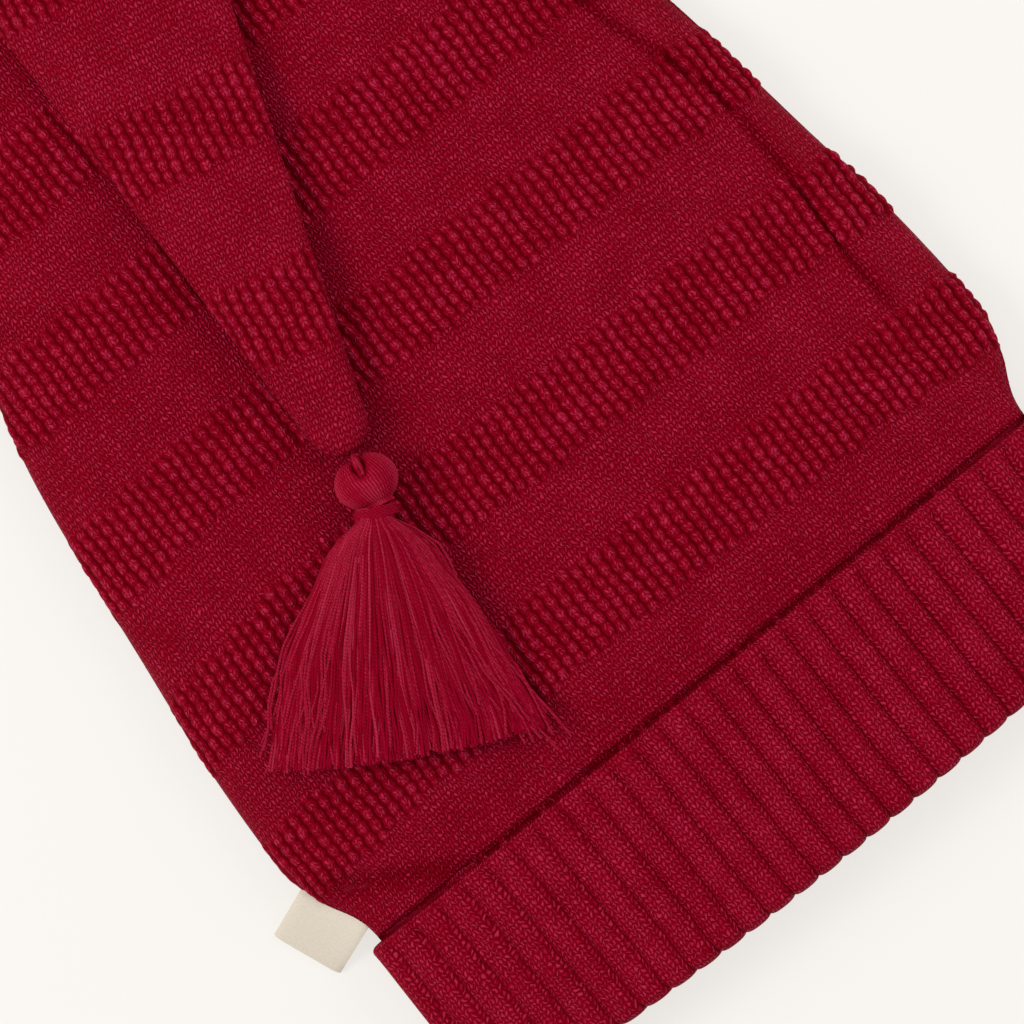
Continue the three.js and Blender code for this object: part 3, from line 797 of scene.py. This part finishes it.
def cuff_ring(shares, inset):
    """The flattened ring of the cuff at even shares of its length, sunk by an inset for each share."""
    turn = np.linspace(0, 2 * math.pi, 2881)
    front = np.sin(turn) >= 0
    power = np.where(front, cuff_front_power, cuff_rear_power)
    across = signed_power(np.cos(turn), 2 / power)
    up = signed_power(np.sin(turn), 2 / power)
    half = cuff_thickness / 2
    steps = np.hypot(np.diff(across * cuff_half_width), np.diff(up * half))
    length = np.r_[0, np.cumsum(steps)]
    across = np.interp(shares * length[-1], length, across)
    up = np.interp(shares * length[-1], length, up)
    front = up >= 0
    x = (cuff_half_width - inset) * across
    depth = np.where(front, half - inset, half * rear_flatness - inset)
    z = np.maximum(half + depth * up, inset)
    return x, z


def make_cuff():
    count = rib_count * columns_per_rib
    shares = np.linspace(0, 1, count + 1)
    in_rib = np.mod(np.arange(count + 1), columns_per_rib) / columns_per_rib
    hollow = np.abs(2 * in_rib - 1) ** 2.6
    crest = (1 - hollow) ** 0.7
    hem_round = cuff_layers / 2
    turn_y = hem_y + hem_turn_length
    inner_top_y = cuff_top_y - crown_tuck - inner_edge_gap

    def hem_share(y):
        """How much of the hem's sweep reaches a height of the cuff."""
        return 1 - smooth(turn_y, hem_y + hem_sweep_length, y)

    # Rows of place, inset, rib share and hem share, for the slot between the layers, the rolled top edge,
    # the outer face, the hem's turn and the inner face
    rows = [(cuff_top_y - slot_depth, cuff_outer_wall, 0, 0)]
    for angle in np.linspace(0, math.pi, 9):
        inset = cuff_outer_wall / 2 * (1 + math.cos(angle))
        rows.append((cuff_top_y - rolled_edge * (1 - math.sin(angle)), inset, 0, 0))
    for y in np.linspace(cuff_top_y - 2, turn_y, 28):
        ribs = smooth(cuff_top_y - rib_fade[0], cuff_top_y - rib_fade[1], y)
        rows.append((y, 0, ribs, hem_share(y)))
    for angle in np.linspace(0, math.pi, 11):
        inset = hem_round * (1 - math.cos(angle))
        ribs = blend(inner_rib_share, 1, math.cos(angle / 2) ** 2)
        rows.append((hem_y + hem_round * (1 - math.sin(angle)), inset, ribs, 1))
    for y in np.linspace(turn_y, inner_top_y, 14):
        rows.append((y, cuff_layers, inner_rib_share, hem_share(y)))
    rows.append((inner_top_y, cuff_layers - cuff_inner_wall, 0, 0))
    points = []
    knit_v = 0
    uv = []
    last = rows[0]
    for y, inset, ribs, hem in rows:
        knit_v -= math.hypot(y - last[0], inset - last[1])
        last = (y, inset)
        sunk = inset + rib_depth * ribs * (1 - crest)
        x, z = cuff_ring(shares, sunk)
        side = np.abs(x) / cuff_half_width
        drop = hem * (hem_sweep * side ** 2 + hem_scallop * ribs * (1 - crest))
        waver = rib_waver * ribs * wobble(x, z * 3 + y, 17.0, 6.0) * smooth(hem_y, hem_y + 12, y)
        points.append(np.stack((x + waver, y + drop, z), axis=1))
        uv.append(np.stack((np.arange(count + 1) / columns_per_rib, np.full(count + 1, knit_v)), axis=1))
    points = np.array(points)
    uv = np.array(uv)
    # Three wales and a groove to each rib
    uv[:, :, 0] *= 4 * wale
    # Painted shade in the grooves between the ribs, and the whole cuff a little lighter
    hollow = np.broadcast_to(hollow * groove_shade - rib_brightness, points.shape[:2])
    attributes = {"band": np.zeros(points.shape[:2]), "hollow": hollow}
    return knit_grid("ribbed_cuff", points, uv, None, attributes, weld=True)


dress(make_cuff(), crown_knit, "rib_knit", "cuff")


# Label
# A folded tab of beige woven cotton tape, caught in the left side seam and drooping to the surface.

label_width = 18.7
label_reach = 12.5
label_thickness = 1.0
label_above_cuff = 13.1
label_corner_power = 12
seam_bulge = 0.35
rest_gap = 0.35


def seam_edge(y):
    section = crown_section(y)
    return np.array((-float(section["half_width"]) - seam_bulge - rest_gap, y, float(section["side"])))


def make_label():
    middle_y = cuff_top_y + label_above_cuff
    slope = seam_edge(middle_y + label_width / 2) - seam_edge(middle_y - label_width / 2)
    slope[2] = 0
    slope /= np.linalg.norm(slope)
    outward = np.array((-slope[1], slope[0], 0))
    outer_end = seam_edge(middle_y) + outward * label_reach
    rows = []
    steps = np.linspace(-0.06, 1, 16)
    turn = np.linspace(math.pi / 2, -math.pi / 2, 7)[1:-1]
    for across in np.linspace(-label_width / 2, label_width / 2, 25):
        # Pressed flat along both cut edges
        half = label_thickness / 2 * (1 - abs(2 * across / label_width) ** label_corner_power)
        root = seam_edge(middle_y + across * slope[1])
        end = outer_end + slope * across
        line = root + (end - root) * steps[:, None]
        line[:, 2] = blend(root[2], rest_gap + label_thickness / 2, smooth(0, 1, steps))
        top = line + np.array((0, 0, half))
        bottom = line[::-1] - np.array((0, 0, half))
        edge = line[-1] + outward * (half * np.cos(turn))[:, None]
        edge[:, 2] += half * np.sin(turn)
        rows.append(np.concatenate((top, edge, bottom)))
    points = np.array(rows)
    u, v = np.meshgrid(np.arange(points.shape[1]), np.arange(points.shape[0]))
    return knit_grid("label_tape", points, np.stack((u, v), axis=2).astype(float))


thread_spacing = 0.25


def tape_material():
    """Woven cotton: matt, with a fine grain of its threads."""
    material, tree = new_material("woven_cotton_tape")
    place = add(tree, "ShaderNodeTexCoord").outputs["Object"]
    weave = add(tree, "ShaderNodeTexNoise", place, None, 1 / (thread_spacing * MM), 2.0, 0.5)
    ramp = add(tree, "ShaderNodeValToRGB", weave)
    ramp.color_ramp.elements[0].position = 0.3
    ramp.color_ramp.elements[0].color = srgb(0xD3C6B3)
    ramp.color_ramp.elements[1].position = 0.7
    ramp.color_ramp.elements[1].color = srgb(0xE4D9C9)
    shader = add(tree, "ShaderNodeBsdfPrincipled", ramp)
    set_inputs(shader, {"Roughness": 0.85})
    add(tree, "ShaderNodeOutputMaterial", shader)
    return material


dress(make_label(), tape_material(), "label_cotton", "label")


# Tassel
# A round head of looped threads, a shiny binding at its neck, and a skirt of cut cotton threads that
# spreads to the lower left over the crown.

head_width = 15.6
head_length = 13.5
head_thickness = 11.0
neck_width = 9.2
neck_thickness = 7.8
skirt_length = 61.0
skirt_spread = 64.0
skirt_root_thickness = 9.0
skirt_end_thickness = 5.0
skirt_turn = math.radians(33)
tie_width = 3.2
tie_rise = 0.21
tassel_gap = 0.7
neck_inset = 0.4
neck_share = 0.92
neck_centre_share = 0.48
neck_end_share = 0.47
dimple_depth = 1.2
recess_depth = 3.2
tip_end_place = fold_start + tip_direction * tip_length
head_centre = tip_end_place + tip_direction * (head_length / 2 + rest_gap)
neck_turn = (tip_lean + skirt_turn) / 2
neck_centre = head_centre + towards_hem(neck_turn) * neck_centre_share * head_length
head_level = crown_front(head_centre[0], head_centre[1]) + tassel_gap + head_thickness / 2
skirt_direction = towards_hem(skirt_turn)
skirt_across = towards_left(skirt_turn)
neck_lift = (head_thickness - neck_thickness) / 2
skirt_reach = {
    "at": (0.0, 0.03, 0.07, 0.13, 0.23, 0.34, 0.52, 0.7, 0.86, 0.94, 1.0),
    "left": (0.07, 0.1, 0.155, 0.2, 0.245, 0.3, 0.38, 0.42, 0.455, 0.475, 0.485),
    "right": (0.07, 0.1, 0.155, 0.2, 0.255, 0.32, 0.394, 0.468, 0.54, 0.56, 0.57),
}


twist_pitch = 1.0
fibre_width = 1 / 2.6


def yarn_material(name, colours, twist):
    """Twisted cotton thread, its tone and the start of its twist kept per thread in attributes."""
    material, tree = new_material(name)
    place = add(tree, "ShaderNodeTexCoord").outputs["Object"]
    thread = add(tree, "ShaderNodeAttribute", attribute_name="tone").outputs["Fac"]
    fibre = add(tree, "ShaderNodeTexNoise", place, None, 1 / (fibre_width * MM), 3.0, 0.6)
    # The plies wind round each thread, from a different start on each. Each ply's crest gets a slight
    # painted highlight in the tone and a bump in the height
    winding = add(tree, "ShaderNodeVectorMath", place, tuple(twist), operation="DOT_PRODUCT")
    winding = winding.outputs["Value"]
    start = add(tree, "ShaderNodeAttribute", attribute_name="start").outputs["Fac"]
    twisted = hump(tree, add(tree, "ShaderNodeMath", start, winding, operation="ADD"), 1.0)
    darker = add(tree, "ShaderNodeMath", thread, 0.1, operation="SUBTRACT")
    shaded = add(tree, "ShaderNodeMath", twisted, 0.12, darker, operation="MULTIPLY_ADD")
    tone = uneven(tree, fibre, 0.6, shaded)
    height = add(tree, "ShaderNodeMath", fibre, 0.5, twisted, operation="MULTIPLY_ADD")
    yarn_surface(tree, tone, height, 0.12, colours, 0.06)
    return material


tassel_twist = (skirt_direction + skirt_across) / (twist_pitch * MM)
# Colours along the tone: painted shade for threads lower down and in the head's recess, the thread's own
# crimson, and painted highlights
crimson_thread = (0x74000E, 0x930424, 0xC43A56)
tassel_yarn = yarn_material("crimson_tassel_thread", crimson_thread, tassel_twist)


def make_tassel_head():
    """A sphere whose rows run from the dimple at the tip's end to the neck, ridged by its loops."""
    strands = 56
    bpy.ops.mesh.primitive_uv_sphere_add(segments=strands * 6, ring_count=40, radius=1)
    head = bpy.context.object
    head.name = "tassel_head"
    mesh = head.data
    unit = np.empty(len(mesh.vertices) * 3)
    mesh.vertices.foreach_get("co", unit)
    unit = unit.reshape(-1, 3)
    around = np.arctan2(unit[:, 1], unit[:, 0])
    below = np.arccos(np.clip(unit[:, 2], -1, 1)) / math.pi
    # A dimple at the start, full in the middle, and a neck at the end
    radius = np.sin(below * math.pi)
    neck = smooth(0.5, neck_share, below) * (below < 0.999)
    wide = np.maximum(radius * head_width / 2, neck * (neck_width / 2 - neck_inset))
    deep = np.maximum(radius * head_thickness / 2, neck * (neck_thickness / 2 - neck_inset))
    lean = around + 0.5 * (below - 0.5)
    ridge = np.abs(np.sin(lean * strands / 2)) ** 0.7 - 0.7
    lumps = 0.2 * np.sin(lean * 7 + 1.0) * radius
    swell = 1 + 0.035 * ridge * np.sin(below * math.pi) ** 0.3 + 0.03 * lumps
    # The recess faces up, between the middle and the tip, where the loop that it hangs from comes out
    from_recess = np.hypot(np.cos(around) * radius / 0.2, (below - 0.32) / 0.12) + 5 * (np.sin(around) < 0)
    recess = np.exp(-from_recess ** 2)
    dimple = dimple_depth * np.exp(-(radius / 0.35) ** 2) * (below < 0.5)
    along = -head_length / 2 * np.cos(below * math.pi) + dimple
    along = np.where(below > neck_share, np.maximum(along, head_length * neck_end_share), along)
    points = head_centre + tip_direction * along[:, None]
    points -= towards_left(tip_lean) * (wide * swell * np.cos(around))[:, None]
    points[:, 2] = head_level + deep * swell * np.sin(around) - recess_depth * recess
    mesh.vertices.foreach_set("co", (points * MM).ravel())
    # Painted light in the tone: lighter along the loops' ridges, darker between them, and painted shade in
    # the recess
    set_attribute(mesh, "tone", 0.55 + 0.45 * ridge + 0.08 * np.sin(lean * 5) - 0.9 * recess)
    mesh.update()
    select_only(head)
    bpy.ops.object.mode_set(mode="EDIT")
    bpy.ops.mesh.select_all(action="SELECT")
    bpy.ops.mesh.normals_make_consistent(inside=False)
    bpy.ops.object.mode_set(mode="OBJECT")
    bpy.ops.object.shade_smooth()
    return head


def make_threads(name, lines, radius, tones):
    """One mesh of round threads, bevelled along a curve for each line of points in millimetres."""
    curve = bpy.data.curves.new(name, "CURVE")
    curve.dimensions = "3D"
    curve.bevel_depth = radius * MM
    curve.bevel_resolution = 1
    curve.use_fill_caps = True
    for line in lines:
        spline = curve.splines.new("POLY")
        spline.points.add(len(line) - 1)
        spline.points.foreach_set("co", np.column_stack((line * MM, np.ones(len(line)))).ravel())
        spline.use_smooth = True
    threads = bpy.data.objects.new(name, curve)
    bpy.context.scene.collection.objects.link(threads)
    select_only(threads)
    bpy.ops.object.convert(target="MESH")
    threads = bpy.context.object
    mesh = threads.data
    # Each end's cap has a ring of its own
    rings = np.array([len(line) + 2 for line in lines])
    per_line = rings * (len(mesh.vertices) // rings.sum())
    set_attribute(mesh, "tone", np.repeat(tones, per_line))
    set_attribute(mesh, "start", np.repeat(np.mod(np.arange(len(lines)) * 0.618, 1), per_line))
    bpy.ops.object.shade_smooth()
    return threads


thread_radius = 0.36
thread_count = 960
stray_count = 44
shoulder_count = 24
# Half of the threads lie on top, within this share of the skirt's thickness
top_share = 0.12
thread_tone = 0.67
thread_tone_spread = 0.08
depth_shade = 2.4


def skirt_line(share, layer, length, drift, phase, waver, shoulder=0.0, widest=1.04):
    """One thread from inside the binding to its cut end, in millimetres."""
    in_tie = np.array((0.0, 0.5))
    at = np.linspace(0, 1, 12) ** 1.15 * length
    waves = waver * (np.sin(at * 7 + phase) + 0.5 * np.sin(at * 17 + phase * 3))
    bow = shoulder * np.exp(-((at - 0.12) / 0.12) ** 2)
    place = np.clip(share + drift * at + waves * at, -widest, widest) * (1 + bow)
    left = read_table(skirt_reach, "left", at) * skirt_spread - thread_radius
    right = read_table(skirt_reach, "right", at) * skirt_spread - thread_radius
    reach = np.where(place > 0, left, right)
    thickness = blend(skirt_root_thickness, skirt_end_thickness, at) - 2 * thread_radius
    lift = neck_lift * (1 - smooth(0, 0.15, at))
    along = tie_width + at * (skirt_length - tie_width)
    along = np.r_[in_tie * tie_width, along]
    place = np.r_[[share] * 2, place]
    reach = np.r_[[neck_width / 2 - thread_radius] * 2, reach]
    thickness = np.r_[[neck_thickness - 2 * thread_radius] * 2, thickness]
    lift = np.r_[[neck_lift] * 2, lift]
    bulge = np.clip(1 - np.abs(np.clip(place, -1, 1)) ** 2.4, 0, 1) ** (1 / 2.4)
    line = neck_centre + skirt_direction * along[:, None] + skirt_across * (place * reach)[:, None]
    wave = waver * 8 * np.sin(along * 0.15 + phase * 2) * along / skirt_length
    up = (2 * layer - 1) * bulge * thickness / 2
    ground = crown_front(line[:, 0], line[:, 1])
    line[:, 2] = ground + tassel_gap + lift + thread_radius + thickness / 2 + up + wave * layer
    return line


def make_skirt():
    chance = np.random.default_rng(7)
    lines = []
    tones = []
    for number in range(thread_count):
        share = chance.uniform(-1, 1)
        layer = 1 - top_share * chance.uniform(0, 1) if number % 2 else chance.uniform(0, 1)
        length = 1 - 0.04 * share ** 2 + 0.035 * share - abs(chance.normal(0, 0.016))
        lines.append(skirt_line(share, layer, length, chance.normal(0, 0.05), chance.uniform(0, 6.3), 0.03))
        # A thread further down gets a darker tone, as painted shade
        shade = depth_shade * min(1 - layer, top_share)
        tones.append(chance.normal(thread_tone, thread_tone_spread) - shade)
    for number in range(stray_count):
        share = chance.choice((-1, 1)) * chance.uniform(0.5, 1)
        length = chance.uniform(0.8, 1.03)
        astray = share * chance.uniform(0.05, 0.3)
        lines.append(skirt_line(share, 1, length, astray, chance.uniform(0, 6.3), 0.07, widest=1.14))
    for number in range(shoulder_count):
        share = -chance.uniform(0.5, 1)
        shoulder = chance.uniform(0.05, 0.22)
        length = chance.uniform(0.6, 0.95)
        lines.append(skirt_line(share, 0.9, length, 0.0, chance.uniform(0, 6.3), 0.05, shoulder))
    tones.extend([0.6] * (stray_count + shoulder_count))
    return make_threads("tassel_skirt", lines, thread_radius, np.clip(tones, 0.2, 0.85))


def make_tie():
    turns = 5
    steps = np.linspace(0, 1, turns * 28 + 1)
    angle = steps * turns * 2 * math.pi
    radius = tie_width / turns / 2 * 1.05
    grow = tie_rise + radius
    along = blend(radius, tie_width - radius, steps)
    line = neck_centre + towards_hem(neck_turn) * along[:, None]
    level = crown_front(neck_centre[0], neck_centre[1]) + tassel_gap + neck_lift + neck_thickness / 2
    line = line + towards_left(neck_turn) * ((neck_width / 2 + grow) * np.cos(angle))[:, None]
    line[:, 2] = level + (neck_thickness / 2 + grow) * np.sin(angle)
    return make_threads("tassel_binding", [line], radius, [0.5])


def make_hanging_loop():
    """The two legs of the thread loop that comes out of the recess and goes into the cap's tip."""
    along = np.array((-1.6, -2.4, -3.3, -4.4, -5.4, -6.3, -7.0))
    up = np.array((4.4, 3.6, 3.9, 4.3, 3.7, 2.6, 0.8))
    lines = []
    for spread in (-0.75, -0.35, 0.35, 0.7):
        line = head_centre + tip_direction * along[:, None]
        line[:, 0] += spread * np.sin(np.linspace(0.6, 2.9, len(along)))
        line[:, 2] = head_level + up + 0.3 * (abs(spread) < 0.5)
        lines.append(line)
    return make_threads("tassel_hanging_loop", lines, thread_radius, [0.6, 0.45, 0.65, 0.5])


dress(make_tassel_head(), tassel_yarn, "tassel_yarn", "tassel")
dress(make_skirt(), tassel_yarn, "tassel_yarn", "tassel")
dress(make_tie(), tassel_yarn, "tassel_yarn", "tassel_tie")
dress(make_hanging_loop(), tassel_yarn, "tassel_yarn", "tassel")


# Camera, light and floor
# A camera straight above the cap, turned as in the photograph, and soft studio light. The floor is a sheet
# of opal acrylic lit from below, so the shadows on it stay pale.

view_centre = (-0.0106, -0.0415)
view_width = 0.2458
view_turn = math.radians(39.0)
camera_height = 1.2
hat_level = 0.016

camera_data = bpy.data.cameras.new("camera")
camera_data.lens_unit = "FOV"
camera_data.sensor_fit = "AUTO"
camera_data.angle = 2 * math.atan(view_width / 2 / (camera_height - hat_level))
camera = bpy.data.objects.new("camera", camera_data)
camera.location = (view_centre[0], view_centre[1], camera_height)
camera.rotation_euler = (0, 0, -view_turn)
bpy.context.scene.collection.objects.link(camera)
bpy.context.scene.camera = camera

bpy.ops.object.select_all(action="DESELECT")
bpy.ops.mesh.primitive_plane_add(size=6, location=(0, 0, -0.0002))
floor = bpy.context.object
floor.name = "floor"
floor_material, tree = new_material("lit_opal_acrylic")
shader = add(tree, "ShaderNodeBsdfPrincipled", srgb(0x83827F))
set_inputs(shader, {"Roughness": 0.9, "Emission Color": srgb(0xF9F6F1), "Emission Strength": 0.75})
add(tree, "ShaderNodeOutputMaterial", shader)
floor.data.materials.append(floor_material)


def soft_light(name, place, size, power):
    """A square studio light at a place, aimed at the cap."""
    data = bpy.data.lights.new(name, "AREA")
    data.energy = power
    data.size = size
    light = bpy.data.objects.new(name, data)
    light.location = place
    aim = np.array((0.0, -0.03, 0.0)) - np.array(place)
    light.rotation_euler = (math.atan2(math.hypot(aim[0], aim[1]), -aim[2]), 0,
                            math.atan2(aim[1], aim[0]) - math.pi / 2)
    bpy.context.scene.collection.objects.link(light)


soft_light("key_light", (-1.2, 0.7, 1.1), 0.8, 17)
soft_light("fill_light", (1.3, 0.0, 0.8), 1.2, 9)
world = bpy.data.worlds.new("studio")
bpy.context.scene.world = world
world.use_nodes = True
set_inputs(world.node_tree.nodes["Background"], {"Color": (1, 1, 1, 1), "Strength": 0.54})
bpy.context.scene.view_settings.view_transform = "Standard"
